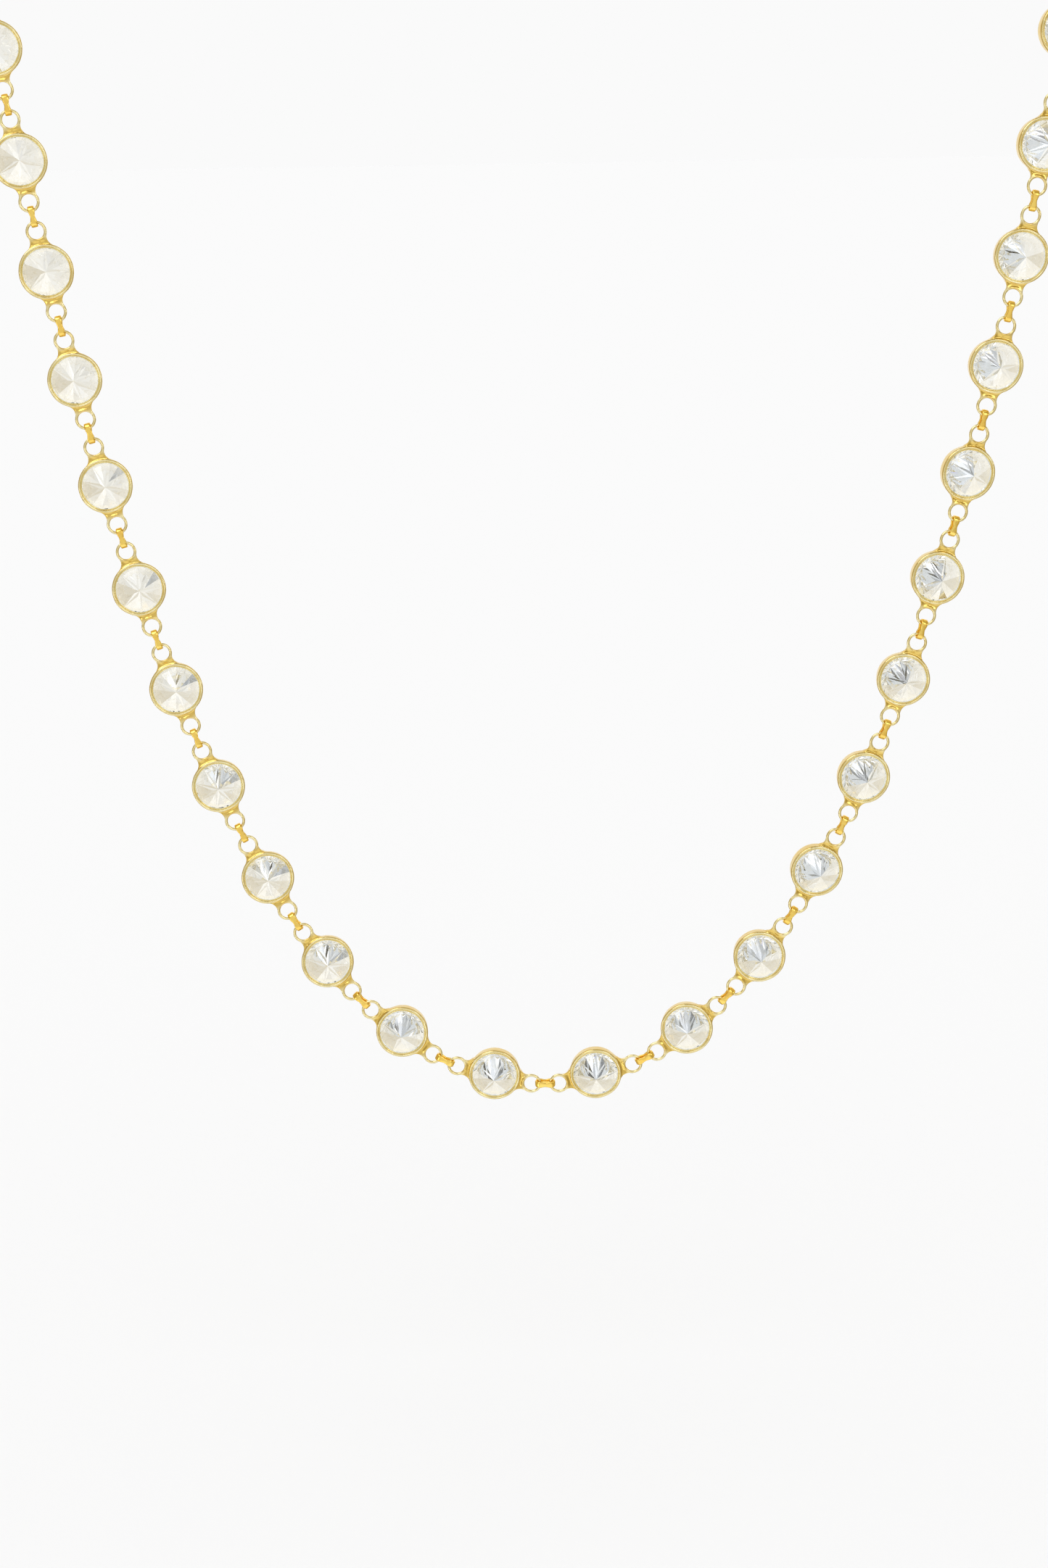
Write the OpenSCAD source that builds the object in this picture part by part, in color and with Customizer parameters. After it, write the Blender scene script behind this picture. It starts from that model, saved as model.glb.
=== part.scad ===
// Bezel station necklace, millimetres, +Z up.
// Round stones in open-backed gold bezels, each with a wire loop at two opposite ends, are
// coupled by small oval links into one closed loop with a plain barrel clasp at the nape.
// The front hangs as a chain hangs under its own weight, in an upright plane that faces -Y.
// Beyond the last pair of stations in that plane the chain bends back over the shoulders
// and runs round the neck. The origin is the middle of the neck, level with the clasp.

/* [Chain] */
// Distance from the middle of one station to the middle of the next
station_pitch = 11; // [10.9:0.05:11.2]
// Stations on each side of the front middle
stations_per_side = 22; // [21:1:23]
// Sag of the hanging front: the slope at arc length s from the lowest point is s over this
hang_a = 21; // [18:0.5:26]
// Stations on each side that hang in the front plane
hanging_stations = 12; // [11:1:13]
// Distance between the middles of the clasp's two loops, along the chain
clasp_span = 14; // [12:0.5:18]

/* [Bezel] */
// Outer diameter of the bezel
bezel_d = 5.5; // [5.46:0.02:5.66]
// Outer diameter of the bezel at its back edge
bezel_back_d = 5.28; // [5.24:0.02:5.36]
// Depth of the bezel from its front rim to its back edge
bezel_depth = 1.45; // [1.4:0.05:1.7]
// Width of the rolled front rim
rim_w = 0.36; // [0.34:0.01:0.38]
// Diameter of the opening that shows the stone
lip_d = 4.72; // [4.68:0.02:4.76]
// Height of the front rim over the plane of the loops
rim_top = 0.25; // [0.22:0.01:0.3]
// Width of the ledge that carries the stone from behind
ledge_w = 0.22; // [0.18:0.02:0.26]

/* [Stone] */
// Diameter at the girdle
stone_d = 5; // [4.96:0.01:5.02]
// Table diameter as a share of the girdle diameter
table_share = 0.86; // [0.82:0.01:0.88]
// Crown height as a share of the girdle diameter
crown_share = 0.06; // [0.05:0.005:0.07]
// Pavilion depth as a share of the girdle diameter
pavilion_share = 0.43; // [0.41:0.005:0.45]
// Girdle thickness
girdle_t = 0.15; // [0.1:0.01:0.18]

/* [Loops and links] */
// Diameter of the hole in a loop
loop_hole_d = 1.52; // [1.48:0.02:1.56]
// Wire diameter of a loop
loop_wire_d = 0.28; // [0.26:0.01:0.3]
// Distance from a station's middle to the middle of its loop
loop_reach = 4.04; // [4:0.01:4.08]
// Thickness of the flat wire of a link
link_t = 0.22; // [0.2:0.01:0.24]
// Width of the flat wire of a link
link_w = 0.66; // [0.6:0.02:0.7]
// Bevel along the edges of the flat wire
link_bevel = 0.08; // [0.06:0.01:0.09]
// How deep the waist in the middle of a link is on each side
link_waist = 0.1; // [0.05:0.01:0.12]
// Width of the hole in a link
link_hole_w = 0.62; // [0.6:0.02:0.7]
// Gap between a link and the loop wire that it pulls on
link_gap = 0.15; // [0.14:0.01:0.17]

/* [Webs] */
// Radius of the concave edge between bezel and loop, seen from the front
web_fillet_r = 1; // [0.8:0.05:1.3]
// Thickness of the web where it meets the loop
web_t = 0.26; // [0.22:0.01:0.27]
// Radius of the hollow that thickens the web towards the bezel, seen from the side
web_side_r = 0.5; // [0.4:0.05:0.6]

/* [Natural twist] */
// Turn of the hanging faces towards +X, on the -X side
left_turn = 8; // [0:1:12]
// Turn of the hanging faces towards +X, on the +X side
right_turn = 6; // [0:1:12]
// Largest small turn of one station against its neighbours
station_wobble = 2.5; // [0:0.5:4]
// Largest small turn of one link against its neighbours
link_wobble = 4; // [0:1:6]
// Turn of the front middle link against its neighbours
middle_link_turn = 8; // [0:1:9]

/* [Clasp] */
// Diameter of the barrel
barrel_d = 3.4; // [3:0.1:4]
// Length of the barrel
barrel_l = 9.2; // [8:0.1:9.2]
// Radius of the domes that end the barrel
barrel_dome_r = 4.7; // [4.65:0.05:5]
// Diameter of the necks that carry the clasp's loops
neck_d = 0.6; // [0.5:0.05:0.8]

/* [Hidden] */
$fn = 64;
gold = [0.89, 0.72, 0.40];
link_gold = [0.86, 0.62, 0.24];
clear = [0.90, 0.91, 0.92];
// Small overlap that lets two shapes merge
bite = 0.02;
half_turn = 180;

// Loops and links
loop_mid_r = (loop_hole_d + loop_wire_d) / 2;
link_mid_r = (link_hole_w + link_t) / 2;
loop_to_loop = station_pitch - 2 * loop_reach;
link_end_wire = loop_to_loop / 2 - (loop_mid_r - loop_wire_d / 2 - link_gap - link_t / 2);
link_half = link_end_wire - link_mid_r;
link_waist_r = (link_half * link_half + link_waist * link_waist) / (2 * link_waist);
link_to_loop = loop_to_loop / 2 - link_half;

// Bezel and stone, heights over the plane of the loops
rim_mid_r = bezel_d / 2 - rim_w / 2;
rim_mid_z = rim_top - rim_w / 2;
back_z = rim_top - bezel_depth;
lip_r = lip_d / 2;
// Thickness of the lip's inner edge
lip_t = 0.08;
// Room between the stone and its seat
seat_gap = 0.04;
stone_r = stone_d / 2;
seat_r = stone_r + seat_gap;
pavilion_h = pavilion_share * stone_d;
crown_h = crown_share * stone_d;
girdle_z = -(stone_r - lip_r) * pavilion_h / stone_r - 2 * seat_gap;
ledge_z = girdle_z - girdle_t - seat_gap;
ledge_r = seat_r - ledge_w;
// Fall of the ledge's top from the wall to its inner edge
ledge_fall = 0.26;

// Facet corners of the stone, as shares of its radius and of the height of crown or pavilion
star_r_share = 1.02 * (table_share + 1) / 2;
star_h_share = 0.44;
half_r_share = 0.24;
half_h_share = 0.79;

// Web between bezel and loop
web_end_r = (bezel_d / 2 + seat_r) / 2;
web_side_x = bezel_d / 2 + web_side_r;
web_side_z = -web_t / 2 - web_side_r;

// Chain: a position on it is its arc length s from the front middle
drop_end = hanging_stations * station_pitch;
end_slope = atan(drop_end / hang_a);
nape_end = stations_per_side * station_pitch + loop_to_loop / 2 + clasp_span / 2;
// Half of the front's width where it ends
front_x = hang_a * ln(drop_end / hang_a + sqrt(1 + pow(drop_end / hang_a, 2)));
// Arc length of the bend over each shoulder, from which the nape's quarter circle closes the loop
shoulder_arc = (nape_end - drop_end - front_x * PI / 2) / (1 + cos(end_slope));
nape_start = drop_end + shoulder_arc;
// Stretch over which the faces turn outwards, and the one over which the side turns grow
twist_start = drop_end - station_pitch;
twist_end = nape_start + 4 * station_pitch;
turn_full = 5 * station_pitch;
// Angles that spread the small natural turns along the chain
station_step = 97;
link_step = 61;
stone_step = 31;
side_step = 50;

function unit(v) = v / norm(v);
function ramp(x, x0, x1) = let (u = min(max((x - x0) / (x1 - x0), 0), 1)) u * u * (3 - 2 * u);
function two_digits(k) = k < 10 ? str("0", k) : str(k);

// Direction of the chain on the +X side at arc length s
function tangent(s) =
    s <= drop_end ? let (slope = atan(s / hang_a)) [cos(slope), 0, sin(slope)]
    : s <= nape_start ? let (bend = 90 * (s - drop_end) / shoulder_arc)
        [cos(bend) * cos(end_slope), sin(bend), cos(bend) * sin(end_slope)]
    : let (turn = 90 * (s - nape_start) / (nape_end - nape_start)) [-sin(turn), cos(turn), 0];

// The direction square to the chain that is carried along it without any twist
function carried(s) =
    s <= drop_end ? [0, -1, 0]
    : s <= nape_start ? let (bend = 90 * (s - drop_end) / shoulder_arc)
        [sin(bend) * cos(end_slope), -cos(bend), sin(bend) * sin(end_slope)]
    : let (turn = 90 * (s - nape_start) / (nape_end - nape_start))
        [cos(turn) * cos(end_slope), sin(turn) * cos(end_slope), sin(end_slope)];

// A direction n turned about the chain's direction t
function turned(t, n, angle) = n * cos(angle) + cross(t, n) * sin(angle);

// The way a face looks at arc length s: to the front, then up, then out from the neck
function face(s) = turned(tangent(s), carried(s), end_slope * ramp(s, twist_start, twist_end));

// The part of a direction u that lies in the plane square to n
function in_plane(u, n) = unit(u - (u * n) * n);

// Arc lengths of station k, from 1, and of link k, from 0, on one side
function station_s(k) = (k - 0.5) * station_pitch;
function link_s(k) = k * station_pitch;
function face_at(k) = face(k > stations_per_side ? nape_end : station_s(k));

// Way from the first loop of station k to the first loop of the next one
function hop(k) = 2 * loop_reach * tangent(station_s(k)) + link_way(k, k) + link_way(k, k + 1);
// Half of that way, from a loop of station n to the middle of link k
function link_way(k, n) = let (u = tangent(link_s(k)))
    link_to_loop * in_plane(u, face_at(n)) + link_half * u;

// First loop of each station on the +X side, and last the clasp's loop
first_loop = [
    for (k = 1, p = link_way(0, 1); k <= stations_per_side + 1; k = k + 1, p = p + hop(k - 1)) p
];
clasp_loop = first_loop[stations_per_side];
widest_x = max([for (p = first_loop) p.x]);
// Middle of the neck, in the frame that has the front middle link at its origin
neck_middle = [0, clasp_loop.y - widest_x, clasp_loop.z];

function station_middle(k) = first_loop[k - 1] + loop_reach * tangent(station_s(k));
function link_middle(k) = k == 0 ? [0, 0, 0] : first_loop[k] - link_way(k, k + 1);

// The same place or direction on the side given by -1 or 1
function on_side(v, side) = [side * v.x, v.y, v.z];

// How far the faces are turned about the chain on one side: none in the middle and at the nape
function side_turn(s, side) = (side > 0 ? right_turn : -left_turn)
    * ramp(s, 0, turn_full) * (1 - ramp(s, drop_end, nape_start));
function station_turn(k, side) = side_turn(station_s(k), side)
    + station_wobble * sin(station_step * k + side_step * side);
function link_turn(k, side) = k == 0 ? middle_link_turn
    : side_turn(link_s(k), side) + link_wobble * sin(link_step * k + side_step * side);

// Puts children with their X along t and their Z along n, on one side of the front middle
module place(middle, t, n, side) {
    p = on_side(middle - neck_middle, side);
    x = on_side(t, side);
    z = on_side(n, side);
    y = cross(z, x);
    multmatrix([[x.x, y.x, z.x, p.x], [x.y, y.y, z.y, p.y], [x.z, y.z, z.z, p.z]]) children();
}

module at_station(k, side) {
    s = station_s(k);
    place(station_middle(k), tangent(s), turned(tangent(s), face(s), station_turn(k, side)), side)
        children();
}

module wire_loop(reach) {
    translate([reach, 0, 0]) rotate_extrude() translate([loop_mid_r, 0]) circle(d = loop_wire_d);
}

// Cross-section of the bezel: x is the radius, y the height over the plane of the loops
module bezel_section() {
    difference() {
        union() {
            polygon([
                [ledge_r - bite, back_z], [bezel_back_d / 2, back_z], [bezel_d / 2, rim_mid_z],
                [rim_mid_r, rim_mid_z], [lip_r - bite, 0]
            ]);
            polygon([
                [lip_r - bite, 0], [rim_mid_r, 0], [rim_mid_r, 2 * lip_t], [lip_r - bite, lip_t]
            ]);
            translate([rim_mid_r, rim_mid_z]) circle(d = rim_w);
        }
        polygon([
            [0, rim_top + 1], [lip_r, rim_top + 1], [lip_r, 0],
            [seat_r, girdle_z + seat_gap], [seat_r, ledge_z], [ledge_r, ledge_z - ledge_fall],
            [ledge_r, back_z - 1], [0, back_z - 1]
        ]);
    }
}

// Outline of the web from above: the four-sided figure between the middles of bezel, loop and
// the two fillet circles that just cut into both, less those circles
module web_outline() {
    a = bezel_d / 2 + web_fillet_r - bite;
    b = loop_mid_r + loop_wire_d / 2 + web_fillet_r - bite;
    angle = acos((a * a + loop_reach * loop_reach - b * b) / (2 * a * loop_reach));
    corner = a * [cos(angle), sin(angle)];
    difference() {
        polygon([[0, 0], corner, [loop_reach, 0], [corner.x, -corner.y]]);
        for (side = [-1, 1]) translate([corner.x, side * corner.y]) circle(r = web_fillet_r);
        circle(r = web_end_r);
        translate([loop_reach, 0]) circle(r = loop_mid_r);
    }
}

// Side view of the web: thin at the loop, swelling towards the back of the bezel
module web_side() {
    difference() {
        polygon([
            [0, web_t / 2], [loop_reach, web_t / 2], [loop_reach, -web_t / 2],
            [web_side_x, -web_t / 2], [web_side_x, web_side_z],
            [bezel_d / 2 - bite, web_side_z], [0, web_side_z]
        ]);
        translate([web_side_x, web_side_z]) circle(r = web_side_r);
    }
}

module web() {
    intersection() {
        translate([0, 0, -bezel_depth]) linear_extrude(2 * bezel_depth) web_outline();
        translate([0, bezel_d / 2, 0]) rotate([90, 0, 0]) linear_extrude(bezel_d) web_side();
    }
}

module station() {
    color(gold) union() {
        rotate_extrude() bezel_section();
        for (end = [0, 1]) rotate([0, 0, end * half_turn]) {
            wire_loop(loop_reach);
            web();
        }
    }
}

// Round brilliant with its point to the front: table, stars, kites, halves and mains
module stone() {
    table_z = girdle_z - girdle_t - crown_h;
    star_z = table_z + star_h_share * crown_h;
    main_z = girdle_z + half_h_share * pavilion_h;
    // A ring of n corners, the first of them this part of a step further round
    function ring(n, r, z, step) = [for (i = [0:n - 1]) let (angle = 360 * (i + step) / n)
        [r * cos(angle), r * sin(angle), z]];
    points = concat(
        ring(8, table_share * stone_r, table_z, 0),
        ring(8, star_r_share * stone_r, star_z, 0.5),
        ring(16, stone_r, girdle_z - girdle_t, 0),
        ring(16, stone_r, girdle_z, 0),
        ring(8, half_r_share * stone_r, main_z, 0.5),
        [[0, 0, girdle_z + pavilion_h]]);
    // Number of the first corner of each ring
    table = 0;
    star = 8;
    low = 16;
    high = 32;
    main = 48;
    culet = 56;
    faces = concat(
        [[for (i = [0:7]) table + i]],
        [for (i = [0:7]) [table + i, star + i, table + (i + 1) % 8]],
        [for (i = [0:7]) [table + i, low + 2 * i, star + i]],
        [for (i = [0:7]) [table + i, star + (i + 7) % 8, low + 2 * i]],
        [for (i = [0:7]) [star + i, low + 2 * i, low + 2 * i + 1]],
        [for (i = [0:7]) [star + i, low + 2 * i + 1, low + (2 * i + 2) % 16]],
        [for (i = [0:15]) [low + i, high + i, high + (i + 1) % 16, low + (i + 1) % 16]],
        [for (i = [0:7]) [high + 2 * i, main + i, high + 2 * i + 1]],
        [for (i = [0:7]) [high + 2 * i + 1, main + i, high + (2 * i + 2) % 16]],
        [for (i = [0:7]) [high + 2 * i, culet, main + i]],
        [for (i = [0:7]) [main + i, culet, high + (2 * i + 2) % 16]]);
    polyhedron(points, faces);
}

// Section of a link's flat wire, thin along X
module link_section() {
    x = link_t / 2;
    y = link_w / 2;
    polygon([[x, link_bevel - y], [x, y - link_bevel], [x - link_bevel, y], [link_bevel - x, y],
        [-x, y - link_bevel], [-x, link_bevel - y], [link_bevel - x, -y], [x - link_bevel, -y]]);
}

// Oval link of flat wire in the XZ plane, long way along X, with a waist in each long side
module link() {
    rotate([90, 0, 0]) difference() {
        for (end = [-1, 1]) {
            translate([end * link_half, 0, 0]) rotate([0, 0, -90 * end])
                rotate_extrude(angle = half_turn) translate([link_mid_r, 0]) link_section();
            translate([0, end * link_mid_r, 0]) rotate([0, 90, 0])
                linear_extrude(2 * link_half, center = true) rotate(90) link_section();
        }
        for (side = [-1, 1]) translate([0, 0, side * (link_w / 2 + link_waist_r - link_waist)])
            rotate([90, 0, 0]) cylinder(r = link_waist_r, h = 4 * link_mid_r, center = true);
    }
}

module links() {
    color(link_gold) for (side = [-1, 1], k = [side > 0 ? 0 : 1:stations_per_side]) {
        t = tangent(link_s(k));
        n = in_plane(face(link_s(k)), t);
        place(link_middle(k), t, turned(t, n, link_turn(k, side)), side) link();
    }
}

module stones() {
    color(clear) for (side = [-1, 1], k = [1:stations_per_side])
        at_station(k, side) rotate([0, 0, stone_step * k + side_step * side]) stone();
}

// Half of the clasp's lengthwise section: x is the radius, y runs along the barrel
module clasp_section() {
    neck_l = clasp_loop.x - loop_mid_r - bite;
    intersection() {
        translate([0, -barrel_l / 2]) square([barrel_d / 2, barrel_l]);
        circle(r = barrel_dome_r);
    }
    translate([0, -neck_l]) square([neck_d / 2, 2 * neck_l]);
}

module clasp() {
    color(gold) place([0, clasp_loop.y, clasp_loop.z], [1, 0, 0], [0, 1, 0], 1) {
        rotate([0, 90, 0]) rotate_extrude() clasp_section();
        for (end = [0, 1]) rotate([0, 0, end * half_turn]) wire_loop(clasp_loop.x);
    }
}

for (k = [1:stations_per_side]) {
    at_station(k, -1) station();
    at_station(k, 1) station();
}
stones();
links();
clasp();
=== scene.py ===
"""Dresses the packed bezel station necklace: metal, stones, links, clasp, stage, light and camera.

Lengths in the panel are metres, as Blender keeps them. Shapes are worked out in millimetres and
brought to metres as they are placed. A position on the chain is its arc length from the front
middle, and a station's own frame has X along the chain and Z out of its face, with the origin in
the plane of its two loops, as in the part's source.
"""

import math

import bpy
import numpy as np
from mathutils import Matrix, Vector, noise


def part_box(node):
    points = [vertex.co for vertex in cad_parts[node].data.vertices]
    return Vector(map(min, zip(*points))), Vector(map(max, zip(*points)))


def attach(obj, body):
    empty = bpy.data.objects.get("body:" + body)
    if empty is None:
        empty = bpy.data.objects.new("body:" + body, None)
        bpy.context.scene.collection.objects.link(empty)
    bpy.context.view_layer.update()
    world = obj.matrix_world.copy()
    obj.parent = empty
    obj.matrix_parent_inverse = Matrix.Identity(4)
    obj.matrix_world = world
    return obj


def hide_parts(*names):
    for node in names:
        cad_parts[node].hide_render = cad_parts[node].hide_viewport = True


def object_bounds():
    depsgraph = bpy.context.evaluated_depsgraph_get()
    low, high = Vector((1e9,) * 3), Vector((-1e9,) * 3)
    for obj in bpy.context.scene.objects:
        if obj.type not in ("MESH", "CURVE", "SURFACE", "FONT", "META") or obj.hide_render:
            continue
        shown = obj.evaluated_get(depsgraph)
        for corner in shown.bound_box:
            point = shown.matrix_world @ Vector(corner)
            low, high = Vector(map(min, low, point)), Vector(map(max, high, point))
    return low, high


bl_info = {
    "name": "Bezel Station Necklace",
    "version": (1, 0, 0),
    "blender": (4, 5, 0),
    "location": "3D View > Sidebar > Necklace",
    "description": "Builds the looks of a bezel station necklace around its packed frame",
    "category": "Add Mesh",
}

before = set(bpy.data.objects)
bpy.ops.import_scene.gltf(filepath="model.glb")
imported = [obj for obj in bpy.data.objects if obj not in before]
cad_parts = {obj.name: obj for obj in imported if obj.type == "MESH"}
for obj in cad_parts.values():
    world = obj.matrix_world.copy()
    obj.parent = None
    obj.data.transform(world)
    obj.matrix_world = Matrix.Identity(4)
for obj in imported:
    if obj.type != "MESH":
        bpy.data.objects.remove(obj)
CAD_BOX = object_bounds()
MM = 0.001
NICKEL = "#F2F0EA"
# Room between a stone and its seat, as in the part's source, in millimetres
SEAT_GAP = 0.04


# Colours and materials


def linear(hex_colour):
    """Turns an sRGB hex colour into the linear numbers that Blender's shaders take."""
    parts = [int(hex_colour[i : i + 2], 16) / 255 for i in (1, 3, 5)]
    return tuple(c / 12.92 if c <= 0.04045 else ((c + 0.055) / 1.055) ** 2.4 for c in parts)


def add_node(tree, kind, settings=None, inputs=None):
    """Adds a node, with its settings, and with a value or a link for each named input."""
    node = tree.nodes.new(kind)
    for name, value in (settings or {}).items():
        setattr(node, name, value)
    for name, value in (inputs or {}).items():
        if isinstance(value, bpy.types.NodeSocket):
            tree.links.new(value, node.inputs[name])
        else:
            node.inputs[name].default_value = value
    return node


def ranged(tree, value, low, high, interpolation="LINEAR"):
    """A share that is 0 where the value is low and 1 where it is high."""
    return add_node(
        tree,
        "ShaderNodeMapRange",
        {"interpolation_type": interpolation},
        {"Value": value, "From Min": low, "From Max": high},
    ).outputs["Result"]


def mixed(tree, share_of_second, first, second):
    """The blend of two colours, each given as numbers or as a link."""
    return add_node(
        tree,
        "ShaderNodeMix",
        {"data_type": "RGBA"},
        {"Factor": share_of_second, "A": first, "B": second},
    ).outputs[2]


def grain(tree, place, size, detail=2.0):
    """Noise with grains of this size in millimetres."""
    return add_node(
        tree,
        "ShaderNodeTexNoise",
        inputs={"Vector": place, "Scale": 1 / (size * MM), "Detail": detail},
    ).outputs["Fac"]


def bump(tree, strength, depth, height, **under):
    """The normal over a relief of this depth in millimetres, over another normal if given."""
    relief = {"Strength": strength, "Distance": depth * MM, "Height": height}
    return add_node(tree, "ShaderNodeBump", inputs=relief | under).outputs["Normal"]


def new_material(name):
    """A material with an empty tree, and the tree."""
    material = bpy.data.materials.new(name)
    material.use_nodes = True
    material.node_tree.nodes.clear()
    return material, material.node_tree


def finish_material(material, shader):
    """Links the shader to an output node and gives the material back."""
    add_node(material.node_tree, "ShaderNodeOutputMaterial", inputs={"Surface": shader})
    return material


def polished_gold(name, body, deep, roughness):
    """Gold-plated wire and sheet, soldered, tumbled and hand-burnished.

    Tumbling leaves a soft satin at 0.08 mm and burnishing leaves shallow waves about 0.7 mm
    long, so that highlights break up and wander along the rims. The deep colour comes in random
    patches, and is painted shade where the web meets the bezel and down the outer wall under
    the rim, as the tone attribute says; the raised edges keep the pale colour. Inside the cups
    the plating is so thin that the white nickel under it shows, which the tone attribute says
    with values under 0.
    """
    material, tree = new_material(name)
    place = add_node(tree, "ShaderNodeTexCoord").outputs["Object"]
    waves = grain(tree, place, size=0.7)
    satin = grain(tree, place, size=0.08, detail=3.0)
    patches = grain(tree, place, size=1.6)
    # Painted shade round the solder and down the walls, and the bare nickel in the cups, come from
    # this attribute
    tone = add_node(tree, "ShaderNodeAttribute", {"attribute_name": "plating_tone"}).outputs["Fac"]
    depth = add_node(
        tree, "ShaderNodeMath", {"operation": "ADD"}, {0: patches, 1: tone}
    ).outputs[0]
    # Deep gold where random patches and the painted shade add up
    plating = mixed(tree, ranged(tree, depth, low=0.35, high=1.2), (*body, 1), (*deep, 1))
    bare = ranged(tree, tone, low=0.0, high=-1.0)
    surface = mixed(tree, bare, plating, (*linear(NICKEL), 1))
    gloss = add_node(
        tree,
        "ShaderNodeMapRange",
        inputs={"Value": satin, "To Min": roughness - 0.04, "To Max": roughness + 0.07},
    ).outputs["Result"]
    wavy = bump(tree, strength=0.8, depth=0.07, height=waves)
    normal = bump(tree, strength=0.12, depth=0.01, height=satin, Normal=wavy)
    metal = add_node(
        tree,
        "ShaderNodeBsdfPrincipled",
        inputs={"Base Color": surface, "Metallic": 1.0, "Roughness": gloss, "Normal": normal},
    )
    return finish_material(material, metal.outputs[0])


def cut_zirconia(name, tint):
    """Cubic zirconia, sawn, ground flat by facet and polished with diamond grit.

    Its high refractive index throws the light of the whole room back through the facets, so the
    fan of pale and dark streaks comes from real refraction. The polish leaves a trace of haze.
    """
    material, tree = new_material(name)
    optics = {"Roughness": 0.012, "IOR": 2.16, "Transmission Weight": 1.0}
    glass = add_node(
        tree, "ShaderNodeBsdfPrincipled", inputs={"Base Color": (*tint, 1), **optics}
    )
    return finish_material(material, glass.outputs[0])


def pale_floor_paint(name, paint_colour):
    """Matt white studio paint, rolled on board: even, without gloss, with a faint stipple."""
    material, tree = new_material(name)
    place = add_node(tree, "ShaderNodeTexCoord").outputs["Object"]
    stipple = grain(tree, place, size=3)
    normal = bump(tree, strength=0.05, depth=0.1, height=stipple)
    paint = add_node(
        tree,
        "ShaderNodeBsdfDiffuse",
        inputs={"Color": (*paint_colour, 1), "Roughness": 0.0, "Normal": normal},
    )
    return finish_material(material, paint.outputs[0])


def tent_cloth(name, base, patches):
    """White silk of a light tent, lit from outside: it glows softly, and unevenly by direction.

    Each patch is a lamp or a dark thing behind the silk: its azimuth from the front towards +X
    and its height, the radii where it is full and where it ends, all in degrees, and the glow's
    colour and strength.
    """
    material, tree = new_material(name)
    place = add_node(tree, "ShaderNodeTexCoord").outputs["Object"]
    way = add_node(
        tree, "ShaderNodeVectorMath", {"operation": "NORMALIZE"}, {0: place}
    ).outputs["Vector"]
    glow = (*base, 1)
    for azimuth, height, full, end, hex_colour, strength in patches:
        a, h = math.radians(azimuth), math.radians(height)
        direction = (math.sin(a) * math.cos(h), -math.cos(a) * math.cos(h), math.sin(h))
        near = add_node(
            tree,
            "ShaderNodeVectorMath",
            {"operation": "DOT_PRODUCT"},
            {0: way, 1: direction},
        ).outputs["Value"]
        rim, core = math.cos(math.radians(end)), math.cos(math.radians(full))
        in_patch = ranged(tree, near, rim, core, interpolation="SMOOTHSTEP")
        tone = tuple(c * strength for c in linear(hex_colour))
        glow = mixed(tree, in_patch, glow, (*tone, 1))
    shine = add_node(tree, "ShaderNodeEmission", inputs={"Color": glow, "Strength": 1.0})
    return finish_material(material, shine.outputs[0])


# Sizes and colours that a user would change


def length(name, description, value):
    """A length property, given in millimetres and kept in metres."""
    return bpy.props.FloatProperty(
        name=name, description=description, default=value * MM, unit="LENGTH", precision=5
    )


def turn(name, description, value):
    """An angle property, given in degrees."""
    return bpy.props.FloatProperty(
        name=name, description=description, default=math.radians(value), unit="ROTATION"
    )


def share(name, description, value):
    """A share of a size, without a unit."""
    return bpy.props.FloatProperty(name=name, description=description, default=value)


def colour(name, description, hex_colour):
    """A colour property, given as sRGB hex."""
    return bpy.props.FloatVectorProperty(
        name=name, description=description, default=linear(hex_colour), subtype="COLOR"
    )


class ChainSizes(bpy.types.PropertyGroup):
    """The line that the chain follows."""

    pitch: length("Pitch", "From the middle of one station to the middle of the next", 11)
    per_side: bpy.props.IntProperty(
        name="Stations per side", description="Counted from the front middle", default=22
    )
    hanging: bpy.props.IntProperty(
        name="Hanging stations", description="Those in the front plane, on each side", default=12
    )
    sag: length("Sag", "The slope at arc length s from the lowest point is s over this", 21)
    clasp_span: length("Clasp span", "Between the middles of the clasp's two loops", 14)
    left_turn: turn("Left turn", "Turn of the hanging faces on the -X side", 8)
    right_turn: turn("Right turn", "Turn of the hanging faces on the +X side", 6)
    station_wobble: turn("Station wobble", "Largest small turn of one station", 2.5)
    link_wobble: turn("Link wobble", "Largest small turn of one link", 4)
    middle_link_turn: turn("Middle link turn", "Turn of the front middle link", 8)


class BezelSizes(bpy.types.PropertyGroup):
    """The round setting with its loops and webs."""

    outer_d: length("Outer diameter", "Across the front rim", 5.5)
    back_d: length("Back diameter", "Across the back edge", 5.28)
    depth: length("Depth", "From the front rim to the back edge", 1.45)
    rim_w: length("Rim width", "Width of the rolled front rim", 0.36)
    rim_top: length("Rim height", "Front rim over the plane of the loops", 0.25)
    lip_d: length("Lip diameter", "Opening that shows the stone", 4.72)
    ledge_w: length("Ledge width", "Ledge that carries the stone from behind", 0.22)
    loop_hole_d: length("Loop hole", "Diameter of the hole in a loop", 1.52)
    loop_wire_d: length("Loop wire", "Wire diameter of a loop", 0.28)
    loop_reach: length("Loop reach", "From the station's middle to the middle of its loop", 4.04)
    web_fillet_r: length("Web fillet", "Concave edge between bezel and loop", 1)
    web_t: length("Web thickness", "Where the web meets the loop", 0.26)


class StoneSizes(bpy.types.PropertyGroup):
    """The round brilliant, set with its point to the front."""

    girdle_d: length("Girdle diameter", "Diameter of the stone", 5)
    girdle_t: length("Girdle thickness", "Thickness of the girdle", 0.15)
    table: share("Table", "Table diameter as a share of the girdle diameter", 0.86)
    crown: share("Crown", "Crown height as a share of the girdle diameter", 0.06)
    pavilion: share("Pavilion", "Pavilion depth as a share of the girdle diameter", 0.43)


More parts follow.
